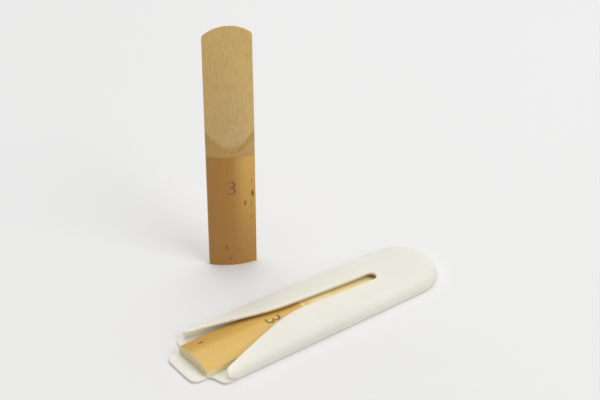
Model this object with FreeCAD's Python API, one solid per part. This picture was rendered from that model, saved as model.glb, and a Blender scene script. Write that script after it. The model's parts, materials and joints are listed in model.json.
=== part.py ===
import FreeCAD, Part
import math
import os

# A pair of saxophone reeds: one stands on its heel, the other lies in its one-piece plastic guard.
# The guard's frame: X runs from the heel of the lying reed to its tip, Y across, Z up.

# Reed
reed_length = 72.5
reed_heel_width = 12.5
reed_tip_width = 12.9
reed_thickness = 3.0
reed_edge_thickness = 1.8
reed_tip_thickness = 0.1
reed_tip_edge_thickness = 0.08
reed_tip_rise = 2.55
reed_tip_corner_radius = 1.6
heel_chamfer = 0.15

# The reed's filed strip and vamp, the long taper from the stock to the tip.
# The shares run from the tip, at 0, to the bottom of the vamp's U, at 1, and a little past both.
stock_length = 34.3
bark_skin = 0.15
filed_strip = 1.1
vamp_station_shares = (-0.05, 0.0, 0.12, 0.3, 0.5, 0.7, 0.85, 1.0, 1.02)
vamp_centre_shares = (-0.04, 0.0, 0.105, 0.28, 0.48, 0.69, 0.845, 1.0, 1.02)
vamp_edge_shares = (-0.04, 0.0, 0.04, 0.14, 0.3, 0.46, 0.57, 0.725, 0.745)

# Shell of the guard
guard_floor = 0.8
guard_wall = 0.8
roof_clearance = 0.7
guard_mouth_width = 21.8
guard_end_radius = 10.1
guard_end_gap = 2.2
end_height = 3.7
mouth_crown = 2.3
end_crown = 1.0
rim_radius = 2.6
base_edge_chamfer = 0.3

# The roof is level over the mouth and then falls to the centre of the round end.
# The shares tell where the sections lie on each of the two runs, and how far the roof has fallen there.
level_roof = 31.0
level_run_shares = (0.0, 0.06, 0.5)
fall_run_shares = (0.0, 0.06, 0.13, 0.25, 0.4, 0.6, 0.8, 1.0)
roof_fall_shares = (0.0, 0.03, 0.105, 0.295, 0.515, 0.755, 0.915, 1.0)

# Mouth and slot of the guard, between its two wings
wing_start = 3.6
wing_end_width = 1.7
wing_corner_radius = 1.8
throat = 28.0
throat_radius = 35.0
slot_width = 3.1
slot_end = 57.6
wing_edge_radius = 0.3

# Tongue at the heel of the guard's base plate
tongue_reach = 4.1
tongue_width = 12.4
tongue_corner_radius = 2.1
tongue_root = 0.9
tongue_root_radius = 1.8
plate_corner = 2.3
plate_corner_radius = 1.6
tongue_edge_chamfer = 0.2

# The standing reed, seen from the heel of the lying one
standing_reed_along = 34.25
standing_reed_aside = 32.05
standing_reed_turn = -28.0

# How far a cutting solid reaches past what it cuts, the shortest edge that is drawn, and a right angle
overrun = 2.0
shortest_edge = 0.001
quarter_turn = 90.0

mouth_height = guard_floor + reed_thickness + roof_clearance + guard_wall
end_centre = reed_length + guard_end_gap + guard_wall - guard_end_radius
wall_foot = guard_floor / 2
past_tongue = -tongue_reach - 2 * overrun


def vec(x, y, z):
    return FreeCAD.Vector(x, y, z)


def arc_radius(half_chord, rise):
    """Radius of the arc that rises this much over this half chord."""
    return (half_chord ** 2 + rise ** 2) / (2 * rise)


def arc_drop(radius, across):
    """How far an arc has dropped from its crown at a distance across it."""
    return radius - math.sqrt(radius ** 2 - across ** 2)


def mirrored(corners):
    """The corners, and then their images across the X axis in the opposite order."""
    return corners + [(x, -y, radius) for x, y, radius in reversed(corners)]


def rounded_prism(corners, bottom, top):
    """Upright prism whose outline runs through corners (x, y, radius), each rounded."""
    bends = []
    for index, (x, y, radius) in enumerate(corners):
        corner = vec(x, y, bottom)
        before = corners[index - 1]
        after = corners[(index + 1) % len(corners)]
        back = (vec(before[0], before[1], bottom) - corner).normalize()
        ahead = (vec(after[0], after[1], bottom) - corner).normalize()
        half_angle = back.getAngle(ahead) / 2
        reach = radius / math.tan(half_angle)
        inward = (back + ahead).normalize()
        middle = corner + inward * (radius / math.sin(half_angle) - radius)
        bends.append((corner + back * reach, middle, corner + ahead * reach))
    edges = []
    for index, (start, middle, end) in enumerate(bends):
        if start.distanceToPoint(end) > shortest_edge:
            edges.append(Part.Arc(start, middle, end).toShape())
        next_start = bends[(index + 1) % len(bends)][0]
        if end.distanceToPoint(next_start) > shortest_edge:
            edges.append(Part.LineSegment(end, next_start).toShape())
    return Part.Face(Part.Wire(edges)).extrude(vec(0, 0, top - bottom))


def above_arc(x, half_width, crown, radius, top):
    """Closed section, at x, of what lies above an arc across the part and below a level top."""
    side = crown - arc_drop(radius, half_width)
    left = vec(x, -half_width, side)
    right = vec(x, half_width, side)
    left_top = vec(x, -half_width, top)
    right_top = vec(x, half_width, top)
    return Part.Wire([
        Part.Arc(left, vec(x, 0, crown), right).toShape(),
        Part.LineSegment(right, right_top).toShape(),
        Part.LineSegment(right_top, left_top).toShape(),
        Part.LineSegment(left_top, left).toShape(),
    ])


def is_upright(edge):
    box = edge.BoundBox
    return max(box.XLength, box.YLength) < shortest_edge


def lies_at(edge, z):
    return abs(edge.BoundBox.ZMin - z) < shortest_edge and edge.BoundBox.ZLength < shortest_edge


def reed_blank():
    """Upright-sided blank of the reed, rounded at the tip."""
    shoulder = reed_length - reed_tip_rise
    heel_left = vec(0, -reed_heel_width / 2, 0)
    heel_right = vec(0, reed_heel_width / 2, 0)
    tip_left = vec(shoulder, -reed_tip_width / 2, 0)
    tip_right = vec(shoulder, reed_tip_width / 2, 0)
    outline = Part.Wire([
        Part.LineSegment(heel_right, heel_left).toShape(),
        Part.LineSegment(heel_left, tip_left).toShape(),
        Part.Arc(tip_left, vec(reed_length, 0, 0), tip_right).toShape(),
        Part.LineSegment(tip_right, heel_right).toShape(),
    ])
    blank = Part.Face(outline).extrude(vec(0, 0, reed_thickness + overrun))
    upright = [e for e in blank.Edges if is_upright(e)]
    corners = [e for e in upright if abs(e.BoundBox.XMin - shoulder) < shortest_edge]
    return blank.makeFillet(reed_tip_corner_radius, corners)


def cane_stem(skin, start, end):
    """The round stem of cane that the reed is split from, less a skin of its bark."""
    radius = arc_radius(reed_heel_width / 2, reed_thickness - reed_edge_thickness)
    axis_start = vec(start, 0, reed_thickness - radius)
    ring = Part.Circle(axis_start, vec(1, 0, 0), radius - skin)
    bottom = ring.parameter(axis_start - vec(0, 0, radius))
    edge = ring.toShape(bottom, bottom + 2 * math.pi)
    return Part.Face(Part.Wire(edge)).extrude(vec(end - start, 0, 0))


def filed_cutter():
    """The skin of the bark, from the file line to past the tip."""
    length = reed_length + overrun - stock_length
    height = reed_thickness + overrun
    block = Part.makeBox(length, 2 * reed_tip_width, height, vec(stock_length, -reed_tip_width, 0))
    return block.cut(cane_stem(bark_skin, stock_length - overrun, reed_length + 2 * overrun))


def vamp_cutter():
    """What lies above the vamp: flat across at the tip, and arched where it meets the bark."""
    vamp_length = reed_length - stock_length - filed_strip
    rise = reed_thickness - bark_skin - reed_tip_thickness
    sections = []
    for along, centre_share, edge_share in zip(vamp_station_shares, vamp_centre_shares, vamp_edge_shares):
        x = reed_length - vamp_length * along
        centre = reed_tip_thickness + rise * centre_share
        edge = reed_tip_edge_thickness + rise * edge_share
        radius = arc_radius(reed_tip_width / 2, centre - edge)
        sections.append(above_arc(x, reed_tip_width, centre, radius, reed_thickness + overrun))
    return Part.makeLoft(sections, True)


def reed():
    """A cane reed lying on its flat back, heel at the origin and tip along X."""
    bark = cane_stem(0, -overrun, reed_length + overrun)
    solid = reed_blank().common(bark).cut(filed_cutter()).cut(vamp_cutter())
    heel_bark = [e for e in solid.Edges if e.BoundBox.XMax < shortest_edge and e.BoundBox.ZMin > 0]
    heel_bark = [e for e in heel_bark if e.BoundBox.YLength > reed_heel_width / 2]
    return solid.makeChamfer(heel_chamfer, heel_bark)


def half_width_at(x):
    """Half the guard's width, which narrows evenly from the wings' tips to the round end's centre."""
    narrowing = (guard_mouth_width / 2 - guard_end_radius) / (end_centre - wing_start)
    return guard_end_radius + narrowing * (end_centre - x)


def half_section(x, height, crown, inset):
    """Right half of the guard's roof and rim, or of its pocket's at an inset: the points of its arcs."""
    roof_radius = arc_radius(guard_mouth_width / 2, crown) - inset
    rim = rim_radius - inset
    roof_centre = vec(x, 0, height - inset - roof_radius)
    across = half_width_at(x) - inset - rim
    rim_centre = roof_centre + vec(0, across, math.sqrt((roof_radius - rim) ** 2 - across ** 2))
    sideways = vec(0, 1, 0)
    outward = (rim_centre - roof_centre).normalize()
    return {
        "side": rim_centre + sideways * rim,
        "rim": rim_centre + (sideways + outward).normalize() * rim,
        "shoulder": rim_centre + outward * rim,
        "roof": roof_centre + (outward + vec(0, 0, 1)).normalize() * roof_radius,
        "top": roof_centre + vec(0, 0, roof_radius),
    }


def section(half, bottom):
    """Whole section, with its flat base at the bottom and its left half mirrored from the right."""
    left = {name: vec(point.x, -point.y, point.z) for name, point in half.items()}
    base_right = vec(half["side"].x, half["side"].y, bottom)
    base_left = vec(left["side"].x, left["side"].y, bottom)
    return Part.Wire([
        Part.LineSegment(base_left, base_right).toShape(),
        Part.LineSegment(base_right, half["side"]).toShape(),
        Part.Arc(half["side"], half["rim"], half["shoulder"]).toShape(),
        Part.Arc(half["shoulder"], half["top"], left["shoulder"]).toShape(),
        Part.Arc(left["shoulder"], left["rim"], left["side"]).toShape(),
        Part.LineSegment(left["side"], base_left).toShape(),
    ])


def round_end(half, bottom):
    """The half section turned half round about its middle."""
    middle = vec(half["top"].x, 0, bottom)
    base = vec(half["side"].x, half["side"].y, bottom)
    outline = Part.Wire([
        Part.LineSegment(middle, base).toShape(),
        Part.LineSegment(base, half["side"]).toShape(),
        Part.Arc(half["side"], half["rim"], half["shoulder"]).toShape(),
        Part.Arc(half["shoulder"], half["roof"], half["top"]).toShape(),
        Part.LineSegment(half["top"], middle).toShape(),
    ])
    return Part.Face(outline).revolve(middle, vec(0, 0, -1), 2 * quarter_turn)


def guard_form(inset, bottom, front):
    """The guard without hollows, or its pocket at an inset from the outside."""
    run = end_centre - level_roof
    stations = [(front + (level_roof - front) * along, 0) for along in level_run_shares]
    stations += [(level_roof + run * along, fallen) for along, fallen in zip(fall_run_shares, roof_fall_shares)]
    halves = []
    for x, fallen in stations:
        height = mouth_height + (end_height - mouth_height) * fallen
        crown = mouth_crown + (end_crown - mouth_crown) * fallen
        halves.append(half_section(x, height, crown, inset))
    body = Part.makeLoft([section(half, bottom) for half in halves], True, True)
    return body.fuse(round_end(halves[-1], bottom)).removeSplitter()


def mouth_cutter():
    """The mouth between the wings, narrowing to the slot along the roof."""
    corners = mirrored([
        (past_tongue, -guard_mouth_width, 0),
        (wing_start, -guard_mouth_width, 0),
        (wing_start, wing_end_width - guard_mouth_width / 2, wing_corner_radius),
        (throat, -slot_width / 2, throat_radius),
        (slot_end, -slot_width / 2, slot_width / 2),
    ])
    return rounded_prism(corners, -overrun, mouth_height + overrun)


def heel_cutter():
    """What is cut away round the tongue at the heel of the base plate."""
    tongue_half = tongue_width / 2
    slope = (plate_corner - tongue_root) / (guard_mouth_width / 2 - tongue_half)
    corners = [
        (past_tongue, -guard_mouth_width, 0),
        (tongue_root + slope * (guard_mouth_width - tongue_half), -guard_mouth_width, 0),
        (tongue_root, -tongue_half, tongue_root_radius),
        (-tongue_reach, -tongue_half, tongue_corner_radius),
    ]
    return rounded_prism(mirrored(corners), -overrun, mouth_height + overrun)


def base_plate():
    """Flat plate under the whole guard, with its tongue. The walls stand on its edges."""
    front_half = half_width_at(past_tongue)
    right_front = vec(past_tongue, front_half, 0)
    left_front = vec(past_tongue, -front_half, 0)
    right_end = vec(end_centre, guard_end_radius, 0)
    left_end = vec(end_centre, -guard_end_radius, 0)
    outline = Part.Wire([
        Part.LineSegment(right_front, left_front).toShape(),
        Part.LineSegment(left_front, left_end).toShape(),
        Part.Arc(left_end, vec(end_centre + guard_end_radius, 0, 0), right_end).toShape(),
        Part.LineSegment(right_end, right_front).toShape(),
    ])
    plate = Part.Face(outline).extrude(vec(0, 0, guard_floor)).cut(heel_cutter())
    upright = [e for e in plate.Edges if is_upright(e) and e.BoundBox.XMax < end_centre - shortest_edge]
    middles = [e.CenterOfMass for e in upright]
    corners = [e for e, at in zip(upright, middles) if half_width_at(at.x) - abs(at.y) < shortest_edge]
    plate = plate.makeFillet(plate_corner_radius, corners)
    plate = plate.makeChamfer(base_edge_chamfer, [e for e in plate.Edges if lies_at(e, 0)])
    return plate.makeChamfer(tongue_edge_chamfer, [e for e in plate.Edges if lies_at(e, guard_floor)])


def wing_edges(shell, cutter):
    """Free outer edges of the wings, along the walls that the mouth and the slot were cut with."""
    walls = Part.makeShell([f for f in cutter.Faces if f.BoundBox.ZLength > shortest_edge])
    free = [e for e in shell.Edges if e.BoundBox.ZMin > guard_floor + shortest_edge and not is_upright(e)]
    middles = [Part.Vertex(e.valueAt((e.FirstParameter + e.LastParameter) / 2)) for e in free]
    return [e for e, middle in zip(free, middles) if walls.distToShape(middle)[0] < shortest_edge]


def reed_guard():
    """One-piece moulded guard: base plate with a tongue, side walls curled into wings, closed end."""
    mouth = mouth_cutter()
    form = guard_form(0, wall_foot, wing_start).cut(mouth)
    form = form.makeFillet(wing_edge_radius, wing_edges(form, mouth))
    walls = form.cut(guard_form(guard_wall, wall_foot - overrun, wing_start - overrun))
    return walls.fuse(base_plate()).removeSplitter()


def standing(shape):
    """The reed stood on its heel beside the guard, its bark turned to the guard's heel."""
    upright = shape.copy()
    upright.rotate(vec(0, 0, 0), vec(0, 1, 0), -quarter_turn)
    upright.rotate(vec(0, 0, 0), vec(0, 0, 1), quarter_turn + standing_reed_turn)
    upright.translate(vec(standing_reed_along, standing_reed_aside, 0))
    return upright


def lying(shape):
    """The reed with its flat back on the floor of the guard."""
    laid = shape.copy()
    laid.translate(vec(0, 0, guard_floor))
    return laid


def build():
    cane = reed()
    shapes = {"reed_guard": reed_guard(), "guarded_reed": lying(cane), "standing_reed": standing(cane)}
    bounds = Part.makeCompound(list(shapes.values())).optimalBoundingBox(False, False)
    os.makedirs("parts", exist_ok=True)
    for name, shape in shapes.items():
        shape.translate(vec(-bounds.Center.x, -bounds.Center.y, 0))
        solid = shape.Solids[0]
        solid.exportStep("parts/" + name + ".step")
        print(name, round(solid.Volume, 1), "mm3")


build()
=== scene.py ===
"""Two cane saxophone reeds: one stands on its heel, the other lies in its moulded plastic guard."""

import json
import math

import bmesh
import bpy
from mathutils import Matrix, Vector


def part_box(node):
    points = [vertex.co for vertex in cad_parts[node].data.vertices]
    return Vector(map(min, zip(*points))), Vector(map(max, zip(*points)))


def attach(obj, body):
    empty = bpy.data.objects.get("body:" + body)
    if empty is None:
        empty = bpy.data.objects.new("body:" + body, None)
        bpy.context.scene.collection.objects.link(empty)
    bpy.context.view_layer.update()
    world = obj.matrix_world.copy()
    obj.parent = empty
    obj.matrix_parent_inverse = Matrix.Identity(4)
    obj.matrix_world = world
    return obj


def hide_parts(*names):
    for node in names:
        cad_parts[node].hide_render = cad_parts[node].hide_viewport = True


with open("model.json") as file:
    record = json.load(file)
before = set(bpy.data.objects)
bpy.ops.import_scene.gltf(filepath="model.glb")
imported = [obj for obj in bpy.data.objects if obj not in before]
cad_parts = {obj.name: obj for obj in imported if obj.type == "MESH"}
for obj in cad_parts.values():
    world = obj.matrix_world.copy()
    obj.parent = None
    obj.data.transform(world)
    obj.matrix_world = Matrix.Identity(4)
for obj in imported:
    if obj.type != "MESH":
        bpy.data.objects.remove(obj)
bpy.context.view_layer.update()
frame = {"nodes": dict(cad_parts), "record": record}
nodes = frame["nodes"]

MM = 0.001
UP = Vector((0, 0, 1))

# Reed, in millimetres along its own axes: X from the heel, Y across, Z up from the flat back
THICKNESS = 3.0
STEM_RADIUS = 16.877
FILE_LINE = 34.3

# Stamped number, in millimetres. Its longer edges are split, so that it can follow the round bark.
NUMBER = "3"
NUMBER_SIZE = 6.2
NUMBER_ALONG = 24.6
NUMBER_LIFT = 0.012
NUMBER_EDGE = 0.6

# Guard, in millimetres: where its wings start, from the lying reed's heel, and the rounding under their noses
WING_START = 3.6
NOSE_RADIUS = 2.2
NOSE_STEPS = 12
NOSE_CLEARANCE = 0.03
CUTTER_MARGIN = 1.0
WELD = 0.001

# Camera, in metres and radians, and its lens and sensor in millimetres
LOOK_DOWN = 0.6145
HEADING = Vector((0.5813, 0.8137, 0))
CAMERA_PLACE = Vector((-0.3110, -0.4445, 0.4125))
CAMERA_ROLL = 0.0089
CAMERA_NEAR = 0.01
LENS = 156
SENSOR_WIDTH = 36

# Light: an even world, brighter where the camera or a reflection sees it, and two round soft lamps
WORLD_LEVEL = 0.345
WORLD_SEEN = 0.86
KEY = {"place": (0.20, 0.34, 1.25), "size": 1.9, "power": 13.6}
FILL = {"place": (0.30, -0.85, 0.70), "size": 0.8, "power": 4.4}

# Floor's side, and how deep the bumps of each surface are, in metres
FLOOR_SIZE = 8
CANE_RELIEF = 0.00006
PLASTIC_RELIEF = 0.00002
PAPER_RELIEF = 0.00005

# Colours, linear
PLASTIC = (0.88, 0.835, 0.715)
PLASTIC_WARM = (0.86, 0.805, 0.675)
PLASTIC_GRIME = (0.56, 0.50, 0.40)
# Painted shade laid on the cut faces where the reed's shade falls
SCRAPED_PAINTED_SHADE = (0.51, 0.310, 0.108)
END_GRAIN = (0.87, 0.745, 0.455)
END_PORE = (0.55, 0.45, 0.27)
END_PALE = (0.86, 0.76, 0.51)
END_EDGE = (0.85, 0.66, 0.30)
FLECK = (0.14, 0.075, 0.03)
INK = (0.14, 0.075, 0.04)
INK_WORN = (0.50, 0.27, 0.065)
FLOOR = (0.825, 0.825, 0.825)
FLOOR_SHADE = (0.805, 0.803, 0.795)

# Each reed's own tones. Its shade grows from the first to the second of the two places
# given across the reed, and from the first to the second of those given along it, up to "shade". On the
# standing reed this is painted shade on the side away from the light; on the lying reed it darkens the far
# side near the heel.
LYING_TONES = {
    "bark": (0.625, 0.38, 0.085), "bark_dark": (0.545, 0.29, 0.043), "bark_pale": (0.71, 0.465, 0.125),
    "band": (0.74, 0.53, 0.19), "band_pale": (0.84, 0.66, 0.29), "fibre": (0.68, 0.495, 0.20),
    "scraped": (0.90, 0.74, 0.36), "pith": (0.93, 0.79, 0.42), "pith_grey": (0.90, 0.75, 0.38),
    "streaks": 0.4, "heel_shade": 0.0,
    "shade_across": (-0.5, 4.5), "shade_along": (22.0, 7.0), "shade": 0.75,
}
STANDING_TONES = {
    "bark": (0.525, 0.268, 0.056), "bark_dark": (0.415, 0.195, 0.037), "bark_pale": (0.70, 0.42, 0.10),
    "band": (0.465, 0.238, 0.055), "band_pale": (0.56, 0.34, 0.10), "fibre": (0.47, 0.315, 0.125),
    "scraped": (0.53, 0.345, 0.127), "pith": (0.72, 0.495, 0.178), "pith_grey": (0.64, 0.457, 0.202),
    "streaks": 0.8, "heel_shade": 0.8,
    "shade_across": (-5.0, 4.0), "shade_along": (80.0, 60.0), "shade": 0.85,
}

# Each reed's natural flecks: along, across, half length, half width and strength
LYING_MARKS = [
    (4.75, 3.45, 0.95, 0.42, 1.0), (4.2, 1.0, 0.3, 0.2, 0.35), (6.3, -0.1, 0.25, 0.2, 0.3),
    (8.0, -2.5, 0.25, 0.2, 0.25), (15.5, 4.6, 0.7, 0.25, 0.5),
]
STANDING_MARKS = [
    (5.8, 1.75, 0.55, 0.3, 0.9), (2.3, 0.9, 0.5, 0.3, 0.9), (11.2, -0.4, 0.35, 0.25, 0.75),
    (4.9, -1.45, 0.4, 0.25, 0.4), (26.1, -5.3, 0.8, 0.2, 0.6), (22.2, -5.5, 1.2, 0.35, 0.95),
    (19.6, -3.45, 0.9, 0.35, 0.75), (19.0, -5.1, 1.1, 0.16, 0.45), (14.8, -5.1, 0.3, 0.35, 0.6),
]


class Nodes:
    """Adds shader nodes to a tree and links what they are given."""

    def __init__(self, tree):
        self.tree = tree

    def add(self, kind, inputs=None, **settings):
        node = self.tree.nodes.new(kind)
        for name, value in settings.items():
            setattr(node, name, value)
        self.fill(node, inputs or {})
        return node

    def fill(self, node, inputs):
        for name, value in inputs.items():
            self.put(node.inputs[name], value)

    def put(self, socket, value):
        if isinstance(value, bpy.types.NodeSocket):
            self.tree.links.new(value, socket)
        elif socket.type == "RGBA":
            socket.default_value = (*value, 1)
        else:
            socket.default_value = value

    def math(self, operation, *values, clamp=False):
        inputs = dict(enumerate(values))
        return self.add("ShaderNodeMath", inputs, operation=operation, use_clamp=clamp).outputs[0]

    def times(self, first, second):
        return self.math("MULTIPLY", first, second)

    def linear(self, value, factor, offset, clamp=False):
        return self.math("MULTIPLY_ADD", value, factor, offset, clamp=clamp)

    def vector(self, operation, *values, output="Vector"):
        inputs = dict(enumerate(values))
        return self.add("ShaderNodeVectorMath", inputs, operation=operation).outputs[output]

    def split(self, vector):
        return self.add("ShaderNodeSeparateXYZ", {0: vector}).outputs

    def join(self, x, y, z):
        return self.add("ShaderNodeCombineXYZ", {0: x, 1: y, 2: z}).outputs[0]

    def place(self):
        """The object's coordinates, in metres."""
        return self.add("ShaderNodeTexCoord").outputs["Object"]

    def noise(self, place, scale=1.0, detail=2.0, roughness=0.5):
        inputs = {"Vector": place, "Scale": scale, "Detail": detail, "Roughness": roughness}
        return self.add("ShaderNodeTexNoise", inputs).outputs["Fac"]

    def stretched_noise(self, place, scales, shift=0.0, **settings):
        """Noise with a scale of its own on each axis, moved along the third."""
        return self.noise(self.vector("MULTIPLY_ADD", place, scales, (0.0, 0.0, shift)), **settings)

    def voronoi(self, place, scale):
        return self.add("ShaderNodeTexVoronoi", {"Vector": place, "Scale": scale}).outputs["Distance"]

    def step(self, value, low, high, start=0.0, end=1.0):
        inputs = {"Value": value, "From Min": low, "From Max": high, "To Min": start, "To Max": end}
        return self.add("ShaderNodeMapRange", inputs, interpolation_type="SMOOTHSTEP").outputs[0]

    def mix(self, share, first, second):
        node = self.add("ShaderNodeMix", data_type="RGBA")
        for index, value in ((0, share), (6, first), (7, second)):
            self.put(node.inputs[index], value)
        return node.outputs[2]

    def coats(self, colour, *coats):
        """Lays coats over a colour, one after the other. Each is a share and a colour."""
        for share, coat in coats:
            colour = self.mix(share, colour, coat)
        return colour

    def bump(self, height, distance, strength):
        inputs = {"Height": height, "Distance": distance, "Strength": strength}
        return self.add("ShaderNodeBump", inputs).outputs[0]


def new_material(name):
    """A node material, its builder and its principled shader."""
    material = bpy.data.materials.new(name)
    material.use_nodes = True
    tree = material.node_tree
    return material, Nodes(tree), tree.nodes["Principled BSDF"]


def new_object(name, data):
    obj = bpy.data.objects.new(name, data)
    bpy.context.scene.collection.objects.link(obj)
    return obj


def dress(obj, material):
    obj.data.materials.clear()
    obj.data.materials.append(material)


def reed_axes():
    """Where each reed's heel lies and how its own axes point, in the row frame."""
    low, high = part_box("guarded_reed")
    lying = Matrix.Translation((low.x, (low.y + high.y) / 2, low.z))
    back = next(m for m in frame["record"]["mounts"] if m["name"] == "reed_back")
    outward = -Vector(back["axis"])
    across = outward.cross(UP)
    turn = Matrix((UP, across, outward)).transposed().to_4x4()
    standing = Matrix.Translation((back["pos_m"][0], back["pos_m"][1], 0)) @ turn
    return {"guarded_reed": lying, "standing_reed": standing}


def reed_coordinates(n, axes):
    """The reed's own coordinates in millimetres, as a vector."""
    offset = n.vector("SUBTRACT", n.place(), axes.to_translation())
    columns = [axes.col[i].to_3d() / MM for i in range(3)]
    return n.join(*(n.vector("DOT_PRODUCT", offset, column, output="Value") for column in columns))


def flecks(n, x, y, marks):
    """Dark natural flecks: the strongest of soft ellipses with wavy outlines."""
    total = 0.0
    wobble = n.noise(n.join(x, y, 0.0), scale=2.2, detail=3)
    wobble = n.linear(wobble, 1.1, -0.55)
    for mark_x, mark_y, length, width, strength in marks:
        along = n.math("DIVIDE", n.math("SUBTRACT", x, mark_x), length)
        aside = n.math("DIVIDE", n.math("SUBTRACT", y, mark_y), width)
        reach = n.vector("LENGTH", n.join(along, aside, 0.0), output="Value")
        reach = n.math("ADD", reach, wobble)
        total = n.math("MAXIMUM", total, n.step(reach, 1.15, 0.6, 0.0, strength))
    return total


class Cane:
    """The layers of one reed's cane, as a solid, and the node sockets that they share."""

    def __init__(self, n, axes, tones, seed):
        self.n = n
        self.tones = tones
        self.seed = seed
        self.local = reed_coordinates(n, axes)
        self.x, self.y, self.z = n.split(self.local)

        # Depth under the round bark
        from_axis = n.math("SUBTRACT", self.z, THICKNESS - STEM_RADIUS)
        radial = n.vector("LENGTH", n.join(0.0, self.y, from_axis), output="Value")
        self.depth = n.math("SUBTRACT", STEM_RADIUS, radial)

        # Shade across the bark: painted shade on the standing reed's side away from the light, the darker far
        # side near the heel on the lying reed
        self.side = n.step(self.y, *tones["shade_across"])
        reach = n.step(self.x, *tones["shade_along"], 0.0, tones["shade"])
        self.shade = n.times(self.side, reach)

        self.fine = self.grain((0.07, 5.5, 5.5), detail=4, roughness=0.6)
        self.mottle = self.grain((1.7, 2.2, 0.0), 9, detail=3, roughness=0.7)
        self.bundle, self.pore = self.bundles()

    def grain(self, scales, shift=0, **settings):
        """Noise drawn out along the reed."""
        return self.n.stretched_noise(self.local, scales, self.seed + shift, **settings)

    def bundles(self):
        """Bundles and pores run along the cane: dots on the heel, streaks on the cut faces."""
        n = self.n
        sway = n.times(self.grain((0.05, 0.3, 0.0)), 0.8)
        across = n.join(0.0, n.math("ADD", self.y, sway), self.z)
        bundle = n.step(n.voronoi(across, 1.9), 0.36, 0.12)
        pore = n.step(n.voronoi(across, 4.6), 0.34, 0.16)
        return n.times(bundle, n.step(self.depth, 0.45, 0.9)), pore

    def pith(self):
        """Pale at the tip, greyer towards the vamp's start, with darker fibres and bundles."""
        n, tones = self.n, self.tones
        middle = n.step(n.math("ABSOLUTE", self.y), 6.0, 2.0)
        grey = n.times(n.step(self.x, 66.0, 40.0), n.linear(middle, 0.6, 0.4))
        dashes = self.grain((0.32, 3.2, 0.0), 5, detail=3, roughness=0.6)
        return n.coats(
            tones["pith"],
            (grey, tones["pith_grey"]),
            (n.step(self.fine, 0.44, 0.72, 0.0, 0.4), tones["fibre"]),
            (n.step(dashes, 0.46, 0.68, 0.0, 0.5), tones["fibre"]),
            # Painted shade on the standing reed's vamp, on its side away from the light
            (n.times(self.shade, 0.35), SCRAPED_PAINTED_SHADE),
            (n.times(self.bundle, n.linear(grey, 0.22, 0.16)), tones["fibre"]),
        )

    def under_bark(self):
        """The dense layer under the bark: the filed strip, the dark band along the vamp's U, then pith."""
        n, tones = self.n, self.tones
        pith = self.pith()
        scraped = n.coats(
            tones["scraped"],
            (n.step(self.fine, 0.38, 0.7, 0.0, 0.5), tones["band_pale"]),
            # Painted shade on the standing reed's filed strip, on its side away from the light
            (n.times(self.shade, 0.9), SCRAPED_PAINTED_SHADE),
        )
        band = n.mix(n.step(self.mottle, 0.38, 0.6), tones["band"], tones["band_pale"])
        bowl = n.linear(n.times(self.y, self.y), -0.12, n.math("SUBTRACT", self.x, FILE_LINE))
        bowl = n.linear(self.mottle, 1.2, bowl)
        ragged = self.grain((0.55, 3.5, 0.0), detail=3)
        under = n.linear(n.math("SUBTRACT", ragged, 0.5), 0.16, self.depth)
        return n.coats(
            scraped,
            (n.step(bowl, 1.2, 1.6), band),
            (n.step(bowl, 2.4, 4.6), pith),
            (n.step(under, 0.4, 0.6), pith),
        )

    def bark(self, marks):
        """Streaked bark with natural flecks, darker towards the heel, with the shade on one side (painted
        shade on the standing reed) and painted light on the other.
        """
        n = self.n
        dark, pale = self.tones["bark_dark"], self.tones["bark_pale"]
        broad = self.grain((0.035, 1.3, 1.3), 7, detail=3)
        strands = self.grain((0.03, 2.7, 0.0), 1, detail=2)
        cloud = self.grain((0.09, 0.16, 0.0), 3, detail=2)
        return n.coats(
            self.tones["bark"],
            (n.step(broad, 0.34, 0.66, 0.0, self.tones["streaks"]), dark),
            (n.step(self.fine, 0.5, 0.78, 0.0, 0.6), pale),
            (n.step(strands, 0.5, 0.34, 0.0, 0.55), dark),
            (n.step(strands, 0.52, 0.68, 0.0, 0.45), pale),
            (n.step(cloud, 0.45, 0.75, 0.0, 0.4), dark),
            # Paler away from the shade: painted light on the standing reed's lit side, the paler near half on
            # the lying reed
            (n.step(self.side, 0.7, 0.0, 0.0, 0.85), pale),
            # Painted shade on the standing reed's side away from the light; the darker far side near the heel
            # on the lying reed
            (self.shade, dark),
            (n.step(self.x, FILE_LINE, 0.0, 0.0, self.tones["heel_shade"]), dark),
            (flecks(n, self.x, self.y, marks), FLECK),
        )

    def end_grain(self):
        """The porous cut across the heel."""
        n = self.n
        speckle = n.noise(n.join(0.0, self.y, self.z), scale=3.0, detail=2, roughness=0.6)
        pits = n.math("MAXIMUM", self.pore, n.step(speckle, 0.47, 0.37, 0.0, 0.8))
        return n.coats(END_GRAIN, (n.step(speckle, 0.45, 0.6), END_PALE), (pits, END_PORE))


def cane_material(name, axes, tones, marks, seed):
    """Cane: bark outside, a dense layer under it, then pale pith, and end grain on the heel."""
    material, n, shader = new_material(name)
    cane = Cane(n, axes, tones, seed)
    skin = n.step(cane.depth, 0.05, 0.11)
    heel = n.step(cane.x, 0.03, 0.01)
    heel_inside = n.times(heel, n.step(cane.depth, 0.16, 0.3))
    colour = n.coats(
        cane.bark(marks),
        (skin, cane.under_bark()),
        (n.step(cane.x, 0.2, 0.14, 0.0, 0.8), END_EDGE),
        (heel_inside, cane.end_grain()),
    )
    height = n.linear(cane.bundle, -0.6, cane.fine)
    height = n.linear(n.times(cane.pore, heel_inside), -1.2, height)
    height = n.times(height, n.linear(skin, 0.7, 0.3))
    n.fill(shader, {
        "Base Color": colour,
        "Roughness": n.linear(skin, 0.32, n.linear(cane.fine, 0.18, 0.34), clamp=True),
        "Specular IOR Level": 0.4,
        "Normal": n.bump(height, CANE_RELIEF, 0.6),
    })
    return material


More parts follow.
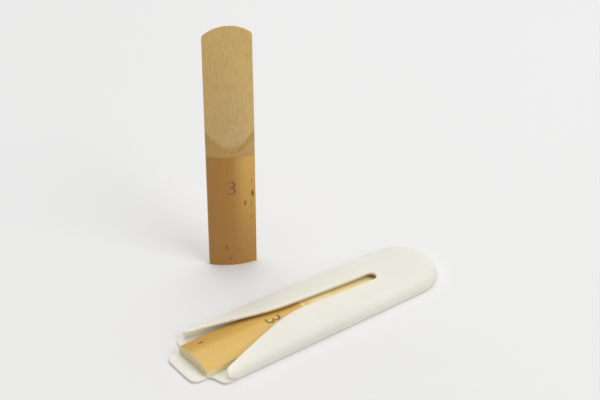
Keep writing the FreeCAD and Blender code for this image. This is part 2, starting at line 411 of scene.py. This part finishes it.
def guard_plastic():
    """Slightly translucent cream plastic, with faint flow marks, scuffs along it and a few specks."""
    material, n, shader = new_material("guard_plastic")
    place = n.add("ShaderNodeVectorMath", {0: n.place(), "Scale": 1 / MM}, operation="SCALE").outputs[0]
    clouds = n.noise(place, scale=0.09, detail=3)
    grain = n.noise(place, scale=6.0, detail=3, roughness=0.6)
    scuffs = n.stretched_noise(place, (0.12, 3.0, 1.0), detail=4, roughness=0.7)
    scuffs = n.step(scuffs, 0.62, 0.76)
    specks = n.step(n.voronoi(place, 0.35), 0.07, 0.03)
    colour = n.coats(
        PLASTIC,
        (n.step(clouds, 0.35, 0.7), PLASTIC_WARM),
        (n.times(scuffs, 0.10), PLASTIC_GRIME),
        (n.times(specks, 0.35), PLASTIC_GRIME),
    )
    n.fill(shader, {
        "Base Color": colour,
        "Roughness": n.linear(scuffs, 0.15, n.linear(clouds, 0.12, 0.36), clamp=True),
        "IOR": 1.49,
        "Subsurface Weight": 0.6,
        "Subsurface Radius": (0.0030, 0.0026, 0.0021),
        "Subsurface Scale": 1.0,
        "Normal": n.bump(n.linear(scuffs, 0.5, grain), PLASTIC_RELIEF, 0.5),
    })
    return material


def floor_paper():
    material, n, shader = new_material("floor_paper")
    place = n.place()
    tone = n.noise(place, scale=3.0)
    fibre = n.noise(place, scale=900.0, detail=3)
    n.fill(shader, {
        "Base Color": n.mix(n.step(tone, 0.3, 0.7), FLOOR, FLOOR_SHADE),
        "Roughness": 0.9,
        "Specular IOR Level": 0.1,
        "Normal": n.bump(fibre, PAPER_RELIEF, 0.3),
    })
    return material


def stamp_ink():
    """Stamp ink that has sunk into the bark unevenly."""
    material, n, shader = new_material("stamp_ink")
    blotch = n.noise(n.place(), scale=2600.0, detail=3, roughness=0.7)
    n.fill(shader, {
        "Base Color": n.mix(n.step(blotch, 0.42, 0.66), INK, INK_WORN),
        "Roughness": n.linear(blotch, 0.3, 0.45),
    })
    return material


def bark_height(y):
    return THICKNESS - STEM_RADIUS + math.sqrt(STEM_RADIUS ** 2 - y ** 2)


def flat_number(name):
    """The number as a flat mesh, its size in millimetres."""
    curve = bpy.data.curves.new(name, "FONT")
    curve.body = NUMBER
    curve.size = NUMBER_SIZE
    curve.align_x = "CENTER"
    curve.align_y = "CENTER"
    curve.resolution_u = 6
    flat = new_object(name + "_flat", curve)
    mesh = bpy.data.meshes.new_from_object(flat)
    bpy.data.objects.remove(flat)
    mesh.name = name
    return mesh


def stamped_number(name, axes, material):
    """A plain strength number stamped on the bark, following its round surface."""
    mesh = flat_number(name)
    work = bmesh.new()
    work.from_mesh(mesh)
    bmesh.ops.triangulate(work, faces=work.faces)
    long_edges = [edge for edge in work.edges if edge.calc_length() > NUMBER_EDGE]
    bmesh.ops.subdivide_edges(work, edges=long_edges, cuts=2)
    for vertex in work.verts:
        right, ahead = vertex.co.x, vertex.co.y
        local = Vector((NUMBER_ALONG + ahead, -right, bark_height(right) + NUMBER_LIFT)) * MM
        vertex.co = axes @ local
    bmesh.ops.recalc_face_normals(work, faces=work.faces)
    work.to_mesh(mesh)
    work.free()
    obj = new_object(name, mesh)
    dress(obj, material)
    return obj


def nose_profile():
    """Outline in X and Z, in millimetres, of what is cut away under the wings' noses."""
    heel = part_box("guarded_reed")[0]
    start = heel.x / MM + WING_START
    bottom = heel.z / MM + NOSE_CLEARANCE
    top = bottom + NOSE_RADIUS
    turns = [math.pi * (1 + step / NOSE_STEPS / 2) for step in range(NOSE_STEPS + 1)]
    arc = [(start + NOSE_RADIUS * (1 + math.cos(t)), top + NOSE_RADIUS * math.sin(t)) for t in turns]
    return arc + [(start - NOSE_RADIUS, bottom), (start - NOSE_RADIUS, top)]


def nose_cutter():
    """What is cut away under the noses of both wings, across the whole guard."""
    low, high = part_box("reed_guard")
    margin = CUTTER_MARGIN * MM
    work = bmesh.new()
    face = work.faces.new([work.verts.new((x * MM, low.y - margin, z * MM)) for x, z in nose_profile()])
    swept = bmesh.ops.extrude_face_region(work, geom=[face])["geom"]
    far_side = [part for part in swept if isinstance(part, bmesh.types.BMVert)]
    bmesh.ops.translate(work, vec=Vector((0, high.y - low.y + 2 * margin, 0)), verts=far_side)
    bmesh.ops.recalc_face_normals(work, faces=work.faces)
    mesh = bpy.data.meshes.new("nose_cutter")
    work.to_mesh(mesh)
    work.free()
    return new_object("nose_cutter", mesh)


def guard_moulding():
    """The guard with the lower corners of its wings' noses rounded off."""
    piece = new_object("guard_moulding", nodes["reed_guard"].data.copy())
    work = bmesh.new()
    work.from_mesh(piece.data)
    bmesh.ops.remove_doubles(work, verts=work.verts, dist=WELD * MM)
    work.to_mesh(piece.data)
    work.free()
    cutter = nose_cutter()
    cut = piece.modifiers.new("noses", "BOOLEAN")
    cut.object = cutter
    cut.operation = "DIFFERENCE"
    cut.solver = "EXACT"
    evaluated = piece.evaluated_get(bpy.context.evaluated_depsgraph_get())
    mesh = bpy.data.meshes.new_from_object(evaluated)
    piece.modifiers.clear()
    piece.data = mesh
    bpy.data.objects.remove(cutter)
    return piece


def add_floor():
    bpy.ops.mesh.primitive_plane_add(size=FLOOR_SIZE)
    floor = bpy.context.object
    floor.name = "floor"
    dress(floor, floor_paper())


def add_world():
    world = bpy.data.worlds.new("studio")
    bpy.context.scene.world = world
    world.use_nodes = True
    n = Nodes(world.node_tree)
    rays = n.add("ShaderNodeLightPath").outputs
    mirrored = n.math("MAXIMUM", rays["Is Glossy Ray"], rays["Is Transmission Ray"])
    seen = n.math("MAXIMUM", rays["Is Camera Ray"], mirrored)
    strength = n.step(seen, 0.0, 1.0, WORLD_LEVEL, WORLD_SEEN)
    n.fill(world.node_tree.nodes["Background"], {"Color": (1, 1, 1), "Strength": strength})


def add_lamp(name, place, size, power):
    """A round soft lamp that points at the frame's origin."""
    lamp = bpy.data.lights.new(name, "AREA")
    lamp.shape = "DISK"
    lamp.size = size
    lamp.energy = power
    obj = new_object(name, lamp)
    obj.location = place
    obj.rotation_euler = (-Vector(place)).to_track_quat("-Z", "Y").to_euler()


def add_camera():
    data = bpy.data.cameras.new("camera")
    data.lens = LENS
    data.sensor_width = SENSOR_WIDTH
    data.clip_start = CAMERA_NEAR
    camera = new_object("camera", data)
    forward = HEADING.normalized() * math.cos(LOOK_DOWN) - UP * math.sin(LOOK_DOWN)
    turn = forward.to_track_quat("-Z", "Y").to_matrix().to_4x4() @ Matrix.Rotation(-CAMERA_ROLL, 4, "Z")
    camera.matrix_world = Matrix.Translation(CAMERA_PLACE) @ turn
    bpy.context.scene.camera = camera


axes = reed_axes()
lying_cane = cane_material("lying_cane", axes["guarded_reed"], LYING_TONES, LYING_MARKS, 11.0)
dress(nodes["guarded_reed"], lying_cane)
standing_cane = cane_material("standing_cane", axes["standing_reed"], STANDING_TONES, STANDING_MARKS, 42.0)
dress(nodes["standing_reed"], standing_cane)
guard = guard_moulding()
dress(guard, guard_plastic())
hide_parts("reed_guard")
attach(guard, "guard")
ink = stamp_ink()
for node, body in (("guarded_reed", "reed_in_guard"), ("standing_reed", "reed_on_heel")):
    number = stamped_number(node + "_number", axes[node], ink)
    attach(number, body)

add_floor()
add_world()
add_lamp("key", **KEY)
add_lamp("fill", **FILL)
add_camera()
bpy.context.scene.view_settings.view_transform = "Standard"
